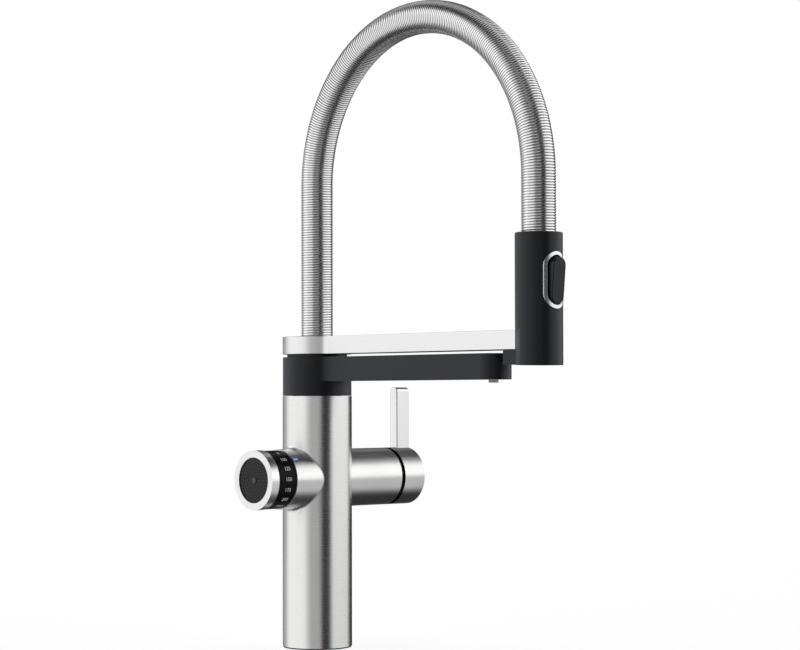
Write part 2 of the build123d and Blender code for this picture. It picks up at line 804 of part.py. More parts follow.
# The hose rises from its seat, goes over an arch of four arcs and drops to the spray head.
# Three radii are shares of half the reach, and the last one is what closes the arch.
def arc_end(start, angle, radius, turn):
    """Where an arc ends that starts there at that angle from the hub's side, in the plane of the arms."""
    y = start[0] - radius * (math.cos(angle) - math.cos(angle + turn))
    z = start[1] + radius * (math.sin(angle + turn) - math.sin(angle))
    return (y, z)


arc_radii = [share * arch_r for share in arch_shares]
arc_starts = [(0, hose_shoulder_z)]
for i, radius in enumerate(arc_radii):
    arc_starts.append(arc_end(arc_starts[i], i * arch_step, radius, arch_step))
arc_radii.append((spout_reach + arc_starts[-1][0]) / (1 - math.cos(arch_step)))
arc_starts.append(arc_end(arc_starts[-1], math.pi - arch_step, arc_radii[-1], arch_step))
hose_drop_z = arc_starts[-1][1]
hose_length = (hose_shoulder_z - hose_seat_z) + arch_step * sum(arc_radii) + (hose_drop_z - hose_end_z)


def hose_plane(s):
    """Plane square to the hose at the length s from its seat: up, over the four arcs, and down."""
    s -= hose_shoulder_z - hose_seat_z
    if s <= 0:
        return Plane(origin=(0, 0, hose_shoulder_z + s), x_dir=(1, 0, 0), z_dir=(0, 0, 1))
    for i, radius in enumerate(arc_radii):
        if s <= radius * arch_step:
            y, z = arc_end(arc_starts[i], i * arch_step, radius, s / radius)
            a = i * arch_step + s / radius
            return Plane(origin=(0, y, z), x_dir=(1, 0, 0), z_dir=(0, -math.sin(a), math.cos(a)))
        s -= radius * arch_step
    return Plane(origin=(0, -spout_reach, hose_drop_z - s), x_dir=(1, 0, 0), z_dir=(0, 0, -1))


with BuildLine() as hose_path:
    Line((0, 0, hose_seat_z), (0, 0, hose_shoulder_z))
    for i, radius in enumerate(arc_radii):
        middle = arc_end(arc_starts[i], i * arch_step, radius, arch_step / 2)
        ThreePointArc((0, *arc_starts[i]), (0, *middle), (0, *arc_starts[i + 1]))
    Line((0, -spout_reach, hose_drop_z), (0, -spout_reach, hose_end_z))

rib_pitch = (hose_length - 2 * hose_end_run) / hose_ribs
print("hose length", round(hose_length, 1), "rib pitch", round(rib_pitch, 3))

# Wound steel hose: every rib is a valley, a crest and a valley again
with BuildPart() as wound_hose:
    with BuildSketch(hose_plane(0)):
        Circle(hose_r - hose_valley)
    for i in range(hose_ribs):
        for share, depth in ((0, hose_valley), (rib_rise, 0), (rib_fall, 0), (rib_foot, hose_valley)):
            with BuildSketch(hose_plane(hose_end_run + (i + share) * rib_pitch)):
                Circle(hose_r - depth)
    with BuildSketch(hose_plane(hose_length)):
        Circle(hose_r - hose_valley)
    loft(ruled=True)
    with BuildSketch(hose_plane(0)):
        Circle(hose_bore_r)
    sweep(path=hose_path.wire(), mode=Mode.SUBTRACT)
wound_hose.part.label = "wound_hose"
export_step(wound_hose.part, "parts/wound_hose.step")

with BuildPart() as water_hose:
    with BuildSketch(hose_plane(0)):
        Circle(water_hose_r)
    sweep(path=hose_path.wire())
    with BuildSketch(hose_plane(0)):
        Circle(water_hose_bore_r)
    sweep(path=hose_path.wire(), mode=Mode.SUBTRACT)
water_hose.part.label = "water_hose"
export_step(water_hose.part, "parts/water_hose.step")

# Spray head shell, with the docking flats low on its back
with BuildPart() as spray_body:
    with BuildSketch(spray_plane.offset(spray_bottom)):
        Circle(spray_r)
    extrude(amount=spray_length)
    fillet(spray_body.edges().sort_by(Axis.Z)[-1], radius=spray_top_edge)
    with BuildSketch(spray_plane.offset(spray_bottom)):
        with Locations((0, dock_flat)):
            Rectangle(2 * spray_r, spray_r, align=(Align.CENTER, Align.MIN))
        for side in (-1, 1):
            reach = spray_r - side_flat_depth + spray_r / 2
            turn = math.radians(side_flat_angle) * side
            with Locations((reach * math.sin(turn), reach * math.cos(turn))):
                Rectangle(2 * spray_r, spray_r, rotation=-side * side_flat_angle)
    extrude(amount=dock_flat_height, mode=Mode.SUBTRACT)
    with BuildSketch(spray_plane.offset(spray_bottom)):
        Circle(spray_bore_r)
        with Locations((0, dock_flat - dock_wall)):
            Rectangle(2 * spray_r, spray_r, align=(Align.CENTER, Align.MIN), mode=Mode.SUBTRACT)
    extrude(amount=dock_flat_height + dock_wall, mode=Mode.SUBTRACT)
    with BuildSketch(spray_plane.offset(dock_flat_top + dock_wall)):
        Circle(spray_bore_r)
    extrude(amount=hose_end_z - dock_flat_top - dock_wall, mode=Mode.SUBTRACT)
    with BuildSketch(spray_plane.offset(hose_end_z)):
        Circle(hose_r + small_gap)
    extrude(amount=spray_cap_t, mode=Mode.SUBTRACT)
    with BuildSketch(button_plane):
        SlotOverall(2 * (bezel_half_height + slip), 2 * (bezel_half_width + slip), rotation=90)
    extrude(amount=spray_r + overcut, mode=Mode.SUBTRACT)
spray_body.part.label = "spray_body"
export_step(spray_body.part, "parts/spray_body.step")

# Chrome frame that sits in the shell's slot and carries the rocker's pin
with BuildPart() as button_bezel:
    with BuildSketch(button_plane):
        SlotOverall(2 * bezel_half_height, 2 * bezel_half_width, rotation=90)
        SlotOverall(
            2 * (bezel_half_height - bezel_band),
            2 * (bezel_half_width - bezel_band),
            rotation=90,
            mode=Mode.SUBTRACT,
        )
    extrude(amount=spray_r + bezel_proud)
    with BuildSketch(spray_plane.offset(spray_bottom)):
        Circle(spray_r + bezel_proud)
        Circle(spray_bore_r, mode=Mode.SUBTRACT)
    extrude(amount=spray_length, mode=Mode.INTERSECT)
    with BuildSketch(Plane.YZ.offset(-rocker_pin_length / 2)):
        with Locations((rocker_pin_y, button_z)):
            Circle(rocker_pin_r + slip)
    extrude(amount=rocker_pin_length, mode=Mode.SUBTRACT)
button_bezel.part.label = "button_bezel"
export_step(button_bezel.part, "parts/button_bezel.step")

tilt = math.radians(rocker_tilt)
rocker_plane = Plane(
    origin=(0, rocker_pin_y, button_z),
    x_dir=(1, 0, 0),
    z_dir=(0, -math.cos(tilt), -math.sin(tilt)),
)
with BuildPart() as rocker_button:
    with BuildSketch(rocker_plane.offset(-rocker_back)):
        SlotOverall(2 * rocker_half_height, 2 * rocker_half_width, rotation=90)
    extrude(amount=rocker_back + rocker_proud)
    front_face = rocker_button.faces().sort_by(Axis.Y)[0]
    fillet(front_face.edges(), radius=rocker_edge)
    with BuildSketch(Plane.YZ.offset(-rocker_pin_length / 2)):
        with Locations((rocker_pin_y, button_z)):
            Circle(rocker_pin_r + running)
    extrude(amount=rocker_pin_length, mode=Mode.SUBTRACT)
rocker_button.part.label = "rocker_button"
export_step(rocker_button.part, "parts/rocker_button.step")

with BuildPart() as rocker_pin:
    with BuildSketch(Plane.YZ.offset(-rocker_pin_length / 2 + slip)):
        with Locations((rocker_pin_y, button_z)):
            Circle(rocker_pin_r)
    extrude(amount=rocker_pin_length - 2 * slip)
rocker_pin.part.label = "rocker_pin"
export_step(rocker_pin.part, "parts/rocker_pin.step")

# Finger on the rocker that throws the diverter in the core
with BuildPart() as diverter_finger:
    with BuildSketch(rocker_plane.offset(-rocker_back)):
        Rectangle(2 * diverter_half_width, 2 * diverter_half_height)
    extrude(amount=-diverter_length)
diverter_finger.part.label = "diverter_finger"
export_step(diverter_finger.part, "parts/diverter_finger.step")

# Connector that closes the head under the hose
with BuildPart() as hose_connector:
    with BuildSketch(spray_plane.offset(connector_bottom)):
        Circle(spray_bore_r - slip)
    extrude(amount=connector_t)
    with BuildSketch(spray_plane.offset(connector_tube_end)):
        Circle(connector_tube_r)
    extrude(amount=connector_bottom - connector_tube_end)
    with BuildSketch(spray_plane.offset(hose_end_z)):
        Circle(water_hose_bore_r - slip)
    extrude(amount=barb_length)
    with BuildSketch(spray_plane.offset(connector_tube_end)):
        Circle(barb_bore_r)
    extrude(amount=hose_end_z + barb_length - connector_tube_end, mode=Mode.SUBTRACT)
hose_connector.part.label = "hose_connector"
export_step(hose_connector.part, "parts/hose_connector.step")

# Waterway core between the connector and the spray face
with BuildPart() as spray_core:
    with BuildSketch(spray_plane.offset(face_top)):
        Circle(core_r)
    extrude(amount=core_top - face_top)
    with BuildSketch(spray_plane.offset(face_top)):
        Circle(core_bore_r)
    extrude(amount=core_top - face_top, mode=Mode.SUBTRACT)
    with BuildSketch(spray_plane.offset(face_top)):
        Circle(core_chamber_r)
    extrude(amount=core_chamber_depth, mode=Mode.SUBTRACT)
    with BuildSketch(spray_plane.offset(core_top)):
        Circle(connector_tube_r + slip)
    extrude(amount=-core_socket, mode=Mode.SUBTRACT)
    with BuildSketch(button_plane):
        Rectangle(
            2 * (diverter_half_width + diverter_side_gap),
            2 * (diverter_half_height + diverter_end_gap),
        )
    extrude(amount=core_r + overcut, mode=Mode.SUBTRACT)
spray_core.part.label = "spray_core"
export_step(spray_core.part, "parts/spray_core.step")

# Face with its ring of spray holes round the aerator
with BuildPart() as spray_face:
    with BuildSketch(spray_plane.offset(face_bottom)):
        Circle(spray_bore_r - slip)
        with Locations((0, dock_flat - dock_wall - keeper_t - slip)):
            Rectangle(2 * spray_r, spray_r, align=(Align.CENTER, Align.MIN), mode=Mode.SUBTRACT)
        Circle(aerator_r, mode=Mode.SUBTRACT)
        with PolarLocations(spray_hole_pitch_r, spray_holes):
            Circle(spray_hole_r, mode=Mode.SUBTRACT)
    extrude(amount=face_t)
    with BuildSketch(spray_plane.offset(face_top)):
        Circle(spray_hole_pitch_r + spray_channel_w / 2)
        Circle(spray_hole_pitch_r - spray_channel_w / 2, mode=Mode.SUBTRACT)
    extrude(amount=-spray_channel_depth, mode=Mode.SUBTRACT)
spray_face.part.label = "spray_face"
export_step(spray_face.part, "parts/spray_face.step")

with BuildPart() as aerator:
    with BuildSketch(spray_plane.offset(face_bottom)):
        Circle(aerator_r - slip)
        for ring in range(1, aerator_rings + 1):
            with PolarLocations(ring * aerator_ring_r, ring * hex_sides):
                Circle(aerator_hole_r, mode=Mode.SUBTRACT)
    extrude(amount=face_t)
aerator.part.label = "aerator"
export_step(aerator.part, "parts/aerator.step")

with BuildPart() as keeper_plate:
    with BuildSketch(spray_plane.offset(face_bottom)):
        with Locations((0, dock_flat - dock_wall - keeper_t / 2)):
            Rectangle(2 * keeper_half_width, keeper_t)
    extrude(amount=keeper_height)
keeper_plate.part.label = "keeper_plate"
export_step(keeper_plate.part, "parts/keeper_plate.step")

# Measuring knob: fixed core, bearing, dial, rim, and the button in its face
with BuildPart() as dial_core:
    with BuildSketch(knob_plane.offset(valve_flat_x)):
        Circle(core_flange_r)
    extrude(amount=core_flange_t)
    with BuildSketch(knob_plane.offset(valve_flat_x)):
        Circle(spigot_r)
    extrude(amount=spigot_end - valve_flat_x)
    with BuildSketch(knob_plane.offset(spigot_end)):
        Circle(plunger_r + running)
    extrude(amount=-(plunger_length + button_travel), mode=Mode.SUBTRACT)
dial_core.part.label = "dial_core"
export_step(dial_core.part, "parts/dial_core.step")

with BuildPart() as dial_bearing:
    with BuildSketch(knob_plane.offset(dial_end - dial_web_t)):
        Circle(spigot_r + slip + bearing_wall)
        Circle(spigot_r + slip, mode=Mode.SUBTRACT)
    extrude(amount=spigot_end - dial_end + dial_web_t)
dial_bearing.part.label = "dial_bearing"
export_step(dial_bearing.part, "parts/dial_bearing.step")

with BuildPart() as dial_ring:
    with BuildSketch(knob_plane.offset(dial_start)):
        Circle(dial_r)
    extrude(amount=dial_end - dial_start)
    with BuildSketch(knob_plane.offset(dial_start)):
        Circle(dial_r - dial_wall)
    extrude(amount=dial_end - dial_web_t - dial_start, mode=Mode.SUBTRACT)
    with BuildSketch(knob_plane.offset(dial_end)):
        Circle(spigot_r + slip + bearing_wall + running)
    extrude(amount=-dial_web_t, mode=Mode.SUBTRACT)
    with BuildSketch(knob_plane.offset(dial_start)):
        groove_start = mark_angle + 180 / dial_grooves
        with PolarLocations(dial_r, dial_grooves, start_angle=groove_start):
            Rectangle(2 * dial_groove_depth, dial_groove_w)
    extrude(amount=dial_end - dial_start, mode=Mode.SUBTRACT)
dial_ring.part.label = "dial_ring"
export_step(dial_ring.part, "parts/dial_ring.step")

with BuildPart() as knob_rim:
    with BuildSketch(knob_plane.offset(dial_end)):
        Circle(rim_r)
    extrude(amount=rim_end - dial_end)
    with BuildSketch(knob_plane.offset(dial_end)):
        Circle(rim_ledge_r)
    extrude(amount=rim_end - dial_end, mode=Mode.SUBTRACT)
    with BuildSketch(knob_plane.offset(dial_end + rim_ledge_t)):
        Circle(disc_r)
    extrude(amount=rim_end - dial_end - rim_ledge_t, mode=Mode.SUBTRACT)
knob_rim.part.label = "knob_rim"
export_step(knob_rim.part, "parts/knob_rim.step")

with BuildPart() as touch_disc:
    with BuildSketch(knob_plane.offset(disc_back)):
        Circle(disc_r - slip)
        for ring in range(disc_hole_rings):
            ring_r = disc_first_ring_r + ring * disc_ring_step
            with PolarLocations(ring_r, disc_first_ring_holes + disc_more_holes * ring):
                Circle(disc_hole_r, mode=Mode.SUBTRACT)
    extrude(amount=disc_t)
touch_disc.part.label = "touch_disc"
export_step(touch_disc.part, "parts/touch_disc.step")

with BuildPart() as centre_lens:
    with BuildSketch(knob_plane.offset(disc_front)):
        Circle(lens_r)
    extrude(amount=lens_t)
    fillet(centre_lens.edges().sort_by(Axis.X)[0], radius=lens_edge)
centre_lens.part.label = "centre_lens"
export_step(centre_lens.part, "parts/centre_lens.step")

with BuildPart() as button_plunger:
    with BuildSketch(knob_plane.offset(disc_back)):
        Circle(plunger_r)
    extrude(amount=-plunger_length)
button_plunger.part.label = "button_plunger"
export_step(button_plunger.part, "parts/button_plunger.step")

# Return spring between the core's end and the back of the disc
with BuildPart() as button_spring:
    with BuildLine():
        spring_path = Helix(
            spring_height / spring_turns,
            spring_height,
            spring_coil_r,
            center=(-spigot_end - slip - spring_wire_r, 0, cross_z),
            direction=(-1, 0, 0),
        )
    with BuildSketch(Plane(origin=spring_path @ 0, z_dir=spring_path % 0)):
        Circle(spring_wire_r)
    sweep()
button_spring.part.label = "button_spring"
export_step(button_spring.part, "parts/button_spring.step")

with BuildPart() as encoder_board:
    with BuildSketch(knob_plane.offset(board_x)):
        Circle(board_r)
        Circle(spigot_r + slip, mode=Mode.SUBTRACT)
    extrude(amount=board_t)
encoder_board.part.label = "encoder_board"
export_step(encoder_board.part, "parts/encoder_board.step")

# Mixer barrel and the cartridge in it
with BuildPart() as mixer_housing:
    with BuildSketch(mixer_plane.offset(valve_flat_x)):
        Circle(mixer_r)
        Circle(mixer_bore_r, mode=Mode.SUBTRACT)
    extrude(amount=mixer_end - valve_flat_x)
mixer_housing.part.label = "mixer_housing"
export_step(mixer_housing.part, "parts/mixer_housing.step")

with BuildPart() as mixer_cartridge:
    with BuildSketch(mixer_plane.offset(cartridge_start)):
        Circle(cartridge_r)
    extrude(amount=cartridge_end - cartridge_start)
    with BuildSketch(mixer_plane.offset(cartridge_end)):
        Circle(rotor_r + running)
    extrude(amount=rotor_start - cartridge_end, mode=Mode.SUBTRACT)
mixer_cartridge.part.label = "mixer_cartridge"
export_step(mixer_cartridge.part, "parts/mixer_cartridge.step")

with BuildPart() as cartridge_nut:
    with BuildSketch(mixer_plane.offset(cartridge_end)):
        Circle(mixer_bore_r - slip)
        Circle(rotor_r + running, mode=Mode.SUBTRACT)
    extrude(amount=nut_end - cartridge_end)
    with BuildSketch(mixer_plane.offset(rotor_end)):
        Circle(rotor_r + nut_relief)
    extrude(amount=nut_end - rotor_end, mode=Mode.SUBTRACT)
cartridge_nut.part.label = "cartridge_nut"
export_step(cartridge_nut.part, "parts/cartridge_nut.step")

pin_plane = Plane(origin=(lever_pivot_x, -stem_pin_length / 2, cross_z), x_dir=(1, 0, 0), z_dir=(0, 1, 0))
with BuildPart() as cartridge_rotor:
    with BuildSketch(mixer_plane.offset(rotor_start)):
        Circle(rotor_r)
    extrude(amount=rotor_end - rotor_start)
    with BuildSketch(mixer_plane.offset(rotor_start + rotor_floor)):
        Rectangle(2 * (stem_half + slip), 2 * rotor_slot_half_height)
    extrude(amount=rotor_end - rotor_start - rotor_floor, mode=Mode.SUBTRACT)
    with BuildSketch(pin_plane):
        Circle(stem_pin_r)
    extrude(amount=stem_pin_length, mode=Mode.SUBTRACT)
cartridge_rotor.part.label = "cartridge_rotor"
export_step(cartridge_rotor.part, "parts/cartridge_rotor.step")

with BuildPart() as stem_pin:
    with BuildSketch(pin_plane):
        Circle(stem_pin_r - running)
    extrude(amount=stem_pin_length)
stem_pin.part.label = "stem_pin"
export_step(stem_pin.part, "parts/stem_pin.step")

with BuildPart() as lever_stem:
    with BuildSketch(mixer_plane.offset(stem_start)):
        Rectangle(2 * stem_half, 2 * stem_half)
    extrude(amount=stem_end - stem_start)
    with BuildSketch(pin_plane):
        Circle(stem_pin_r)
    extrude(amount=stem_pin_length, mode=Mode.SUBTRACT)
lever_stem.part.label = "lever_stem"
export_step(lever_stem.part, "parts/lever_stem.step")

# Lever cap, hollow behind its rim so that it can tip over the barrel's end
with BuildPart() as lever_cap:
    with BuildSketch(mixer_plane.offset(cap_start)):
        Circle(mixer_r)
    extrude(amount=cap_end - cap_start)
    fillet(lever_cap.edges().sort_by(Axis.X)[-1], radius=cap_edge)
    with BuildSketch(mixer_plane.offset(cap_start)):
        Circle(mixer_r - cap_rim_wall)
    extrude(amount=cap_boss_setback, mode=Mode.SUBTRACT)
    with BuildSketch(mixer_plane.offset(cap_start)):
        Circle(mixer_r - cap_rim_wall)
        Circle(cap_boss_r, mode=Mode.SUBTRACT)
    extrude(amount=cap_recess, mode=Mode.SUBTRACT)
    with BuildSketch(mixer_plane.offset(cap_start)):
        Rectangle(2 * (stem_half + slip), 2 * (stem_half + slip))
    extrude(amount=stem_end + slip - cap_start, mode=Mode.SUBTRACT)
    with BuildSketch(Plane.XY.offset(lever_foot_z)):
        with Locations((blade_x, 0)):
            RectangleRounded(blade_width, blade_thickness, blade_edge)
    extrude(amount=mixer_r, mode=Mode.SUBTRACT)
    with BuildSketch(Plane.XY.offset(cross_z)):
        with Locations((grub_x, 0)):
            Circle(grub_r + slip)
    extrude(amount=-mixer_r, mode=Mode.SUBTRACT)
lever_cap.part.label = "lever_cap"
export_step(lever_cap.part, "parts/lever_cap.step")

with BuildPart() as lever_blade:
    with BuildSketch(Plane.XY.offset(lever_foot_z)):
        with Locations((blade_x, 0)):
            Rectangle(blade_width, blade_thickness)
    extrude(amount=blade_top - lever_foot_z)
    top_edges = lever_blade.faces().sort_by(Axis.Z)[-1].edges().filter_by(Axis.X)
    fillet(top_edges, radius=blade_top_r)
    end_edges = lever_blade.faces().filter_by(Axis.X).edges()
    fillet(end_edges.filter_by(lambda e: e.center().Z > lever_foot_z + slip), radius=blade_edge)
lever_blade.part.label = "lever_blade"
export_step(lever_blade.part, "parts/lever_blade.step")

with BuildPart() as grub_screw:
    with BuildSketch(Plane.XY.offset(cross_z - stem_half)):
        with Locations((grub_x, 0)):
            Circle(grub_r)
    extrude(amount=-grub_length)
    with BuildSketch(Plane.XY.offset(cross_z - stem_half - grub_length)):
        with Locations((grub_x, 0)):
            RegularPolygon(grub_r / 2, hex_sides)
    extrude(amount=grub_r, mode=Mode.SUBTRACT)
grub_screw.part.label = "grub_screw"
export_step(grub_screw.part, "parts/grub_screw.step")
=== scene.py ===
import bpy
import json
import math
import numpy as np
from mathutils import Matrix


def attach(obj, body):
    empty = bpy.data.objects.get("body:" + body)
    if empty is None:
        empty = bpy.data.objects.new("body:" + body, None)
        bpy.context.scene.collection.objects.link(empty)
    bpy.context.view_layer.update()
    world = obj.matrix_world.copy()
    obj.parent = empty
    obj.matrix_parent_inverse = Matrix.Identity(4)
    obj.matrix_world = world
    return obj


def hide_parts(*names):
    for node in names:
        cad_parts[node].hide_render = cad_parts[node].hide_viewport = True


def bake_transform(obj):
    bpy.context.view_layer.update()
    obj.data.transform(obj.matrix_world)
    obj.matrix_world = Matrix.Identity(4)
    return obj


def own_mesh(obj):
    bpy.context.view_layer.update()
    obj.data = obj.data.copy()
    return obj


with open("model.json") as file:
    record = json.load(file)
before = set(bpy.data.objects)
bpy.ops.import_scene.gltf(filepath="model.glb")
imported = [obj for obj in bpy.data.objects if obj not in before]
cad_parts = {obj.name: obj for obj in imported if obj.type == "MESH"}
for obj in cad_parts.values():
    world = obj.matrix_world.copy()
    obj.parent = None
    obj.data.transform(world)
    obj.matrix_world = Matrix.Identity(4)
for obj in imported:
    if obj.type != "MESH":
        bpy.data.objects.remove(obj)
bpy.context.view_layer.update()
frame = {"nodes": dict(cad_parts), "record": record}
nodes = frame["nodes"]
mm = 0.001

# ---------------------------------------------------------------- camera
# Fitted to the photograph. Lengths are in metres, and the sensor's width and the lens in millimetres.
YAW, PITCH, ROLL = math.radians(-43.05), math.radians(1.90), math.radians(-0.123)
SIDE_STEP, EYE_HEIGHT, DISTANCE = 0.064778, 0.192874, 1.718517
SENSOR_WIDTH, FOCAL_LENGTH = 36.0, 99.0
CLIP_START, CLIP_END = 0.05, 40.0

flat_right = np.array([math.cos(YAW), math.sin(YAW), 0.0])
flat_back = np.array([math.sin(YAW), -math.cos(YAW), 0.0])
up = np.array([0.0, 0.0, 1.0])


def place_camera():
    """Eye at its distance back from the column, a side step to the right and its height above the worktop.
    It looks back along that line, tipped up by the pitch and rolled about the line of sight."""
    forward = -flat_back * math.cos(PITCH) + up * math.sin(PITCH)
    over = flat_back * math.sin(PITCH) + up * math.cos(PITCH)
    right = flat_right * math.cos(ROLL) + over * math.sin(ROLL)
    above = -flat_right * math.sin(ROLL) + over * math.cos(ROLL)
    eye = flat_back * DISTANCE + flat_right * SIDE_STEP + up * EYE_HEIGHT
    data = bpy.data.cameras.new("photo_camera")
    data.sensor_width, data.lens = SENSOR_WIDTH, FOCAL_LENGTH
    data.clip_start, data.clip_end = CLIP_START, CLIP_END
    camera = bpy.data.objects.new("photo_camera", data)
    turn = np.eye(4)
    turn[:3, 0], turn[:3, 1], turn[:3, 2], turn[:3, 3] = right, above, -forward, eye
    camera.matrix_world = Matrix(turn.tolist())
    bpy.context.scene.collection.objects.link(camera)
    bpy.context.scene.camera = camera


place_camera()
bpy.context.scene.view_settings.view_transform = "Standard"


# ---------------------------------------------------------------- node helpers
# Sockets of the Mix node, which has one A, B and result for each kind of value
MIX_FACTOR = 0
FLOAT_A, FLOAT_B, FLOAT_RESULT = 2, 3, 0
COLOUR_A, COLOUR_B, COLOUR_RESULT = 6, 7, 2

# Most of a noise's values lie between these two
NOISE_LOW, NOISE_HIGH = 0.3, 0.7


def fresh_tree(owner):
    """Empties the node tree of a material or world and returns its nodes and links."""
    owner.use_nodes = True
    owner.node_tree.nodes.clear()
    return owner.node_tree.nodes, owner.node_tree.links


def sums(tree, operation, *values):
    """One Math node. A value is a number or another node's output."""
    nodes, links = tree
    node = nodes.new("ShaderNodeMath")
    node.operation = operation
    for socket, value in zip(node.inputs, values):
        if isinstance(value, (int, float)):
            socket.default_value = value
        else:
            links.new(value, socket)
    return node.outputs[0]


def ramp(tree, value, low, high, start=0.0, end=1.0):
    """Smooth step of a value, from start at low to end at high."""
    nodes, links = tree
    node = nodes.new("ShaderNodeMapRange")
    node.interpolation_type = "SMOOTHSTEP"
    links.new(value, node.inputs["Value"])
    for name, number in (("From Min", low), ("From Max", high), ("To Min", start), ("To Max", end)):
        node.inputs[name].default_value = number
    return node.outputs["Result"]


def spread(tree, noise, start, end):
    """Number that goes from start to end over most of a noise's values."""
    return ramp(tree, noise, NOISE_LOW, NOISE_HIGH, start, end)


def band(tree, value, low, high, soft, high_soft=None):
    """1 where the value lies between low and high, with soft edges that are 2 * soft wide."""
    high_soft = high_soft or soft
    rise = ramp(tree, value, low - soft, low + soft)
    fall = ramp(tree, value, high - high_soft, high + high_soft, 1.0, 0.0)
    return sums(tree, "MULTIPLY", rise, fall)


def mixed_colour(tree, value, first, second):
    """Colour from first to second as the value goes from 0 to 1. First is a triple or another node's output."""
    nodes, links = tree
    mix = nodes.new("ShaderNodeMix")
    mix.data_type = "RGBA"
    links.new(value, mix.inputs[MIX_FACTOR])
    if isinstance(first, tuple):
        mix.inputs[COLOUR_A].default_value = (*first, 1)
    else:
        links.new(first, mix.inputs[COLOUR_A])
    mix.inputs[COLOUR_B].default_value = (*second, 1)
    return mix.outputs[COLOUR_RESULT]


def object_place(tree):
    """Place on the object, in metres."""
    return tree[0].new("ShaderNodeTexCoord").outputs["Object"]


def object_axes(tree):
    """X, Y and Z of the place on the object, by name."""
    split = tree[0].new("ShaderNodeSeparateXYZ")
    tree[1].new(object_place(tree), split.inputs[0])
    return split.outputs


# ---------------------------------------------------------------- studio
# Light panels, in degrees round the object from the camera, plus to the right, and above the horizon. Each has its
# left, right, lower and upper side, each side with half the width over which it fades, and its light. A side at 190
# or 95 lies past the last degree, so that nothing fades there.
PANELS = (
    ((-118, 16), (-32, 12), (-42, 7), (40, 7), 1.00),    # tall, on the left
    ((-150, 12), (-118, 16), (-40, 7), (42, 7), 0.38),   # its dimmer side, towards the back
    ((-130, 12), (-84, 12), (14, 8), (43, 6), 0.58),     # added to the top of both
    ((49, 9), (133, 9), (0, 7), (40, 10), 1.32),         # on the right, above the horizon
    ((49, 9), (127, 9), (-39, 8), (0, 7), 0.58),         # its dimmer part below the horizon
    ((-32, 8), (15, 7), (-24, 10), (24, 10), 0.46),      # dim, in front
    ((-190, 8), (-156, 8), (-40, 10), (14, 10), 0.42),   # dim, at the back, left half
    ((168, 7), (190, 1), (34, 8), (62, 9), 0.36),        # high at the back, right half
    ((-190, 1), (-158, 9), (34, 8), (62, 9), 0.36),      # high at the back, left half
    ((-190, 1), (190, 1), (70, 8), (95, 8), 0.70),       # ceiling
)
DARKEST = 0.033     # light of the room between the panels

FLOOR_HALF, FLOOR_Z = 4.0, -0.0004
FLOOR_GREY = 0.62                    # as it lights the tap
SEEN_GREY, SEEN_GLOW = 0.45, 0.81    # as the camera sees it: together nearly white


def panel_light(tree, direction):
    """Light of all the panels towards a direction, as their sum over the dark room."""
    def along(axis):
        node = tree[0].new("ShaderNodeVectorMath")
        node.operation = "DOT_PRODUCT"
        tree[1].new(direction, node.inputs[0])
        node.inputs[1].default_value = tuple(axis)
        return node.outputs["Value"]

    bearing = sums(tree, "DEGREES", sums(tree, "ARCTAN2", along(flat_right), along(flat_back)))
    height = sums(tree, "DEGREES", sums(tree, "ARCSINE", along(up)))
    total = DARKEST
    for left, right, low, high, light in PANELS:
        piece = sums(tree, "MULTIPLY", band(tree, bearing, left[0], right[0], left[1], right[1]),
                     band(tree, height, low[0], high[0], low[1], high[1]))
        total = sums(tree, "MULTIPLY_ADD", piece, light, total)
    return total


def straight_view(tree):
    """1 for what is seen straight or through a clear material. Reflections are left out: brushed steel that mirrors
    the backdrop all round loses its dark bands."""
    path = tree[0].new("ShaderNodeLightPath")
    return sums(tree, "MAXIMUM", path.outputs["Is Camera Ray"], path.outputs["Is Transmission Ray"])


def light_studio():
    """Soft studio: panels on the left and right, dimmer ones in front and behind, and a pale ceiling, with darker
    room between. The camera sees a white backdrop."""
    world = bpy.data.worlds.new("studio")
    bpy.context.scene.world = world
    world.cycles.sampling_method = "NONE"
    tree = nodes, links = fresh_tree(world)
    total = panel_light(tree, nodes.new("ShaderNodeTexCoord").outputs["Generated"])
    mix = nodes.new("ShaderNodeMix")
    mix.data_type = "FLOAT"
    links.new(straight_view(tree), mix.inputs[MIX_FACTOR])
    links.new(total, mix.inputs[FLOAT_A])
    mix.inputs[FLOAT_B].default_value = 1.0
    light = nodes.new("ShaderNodeBackground")
    light.inputs["Color"].default_value = (1, 1, 1, 1)
    links.new(mix.outputs[FLOAT_RESULT], light.inputs["Strength"])
    out = nodes.new("ShaderNodeOutputWorld")
    links.new(light.outputs[0], out.inputs["Surface"])


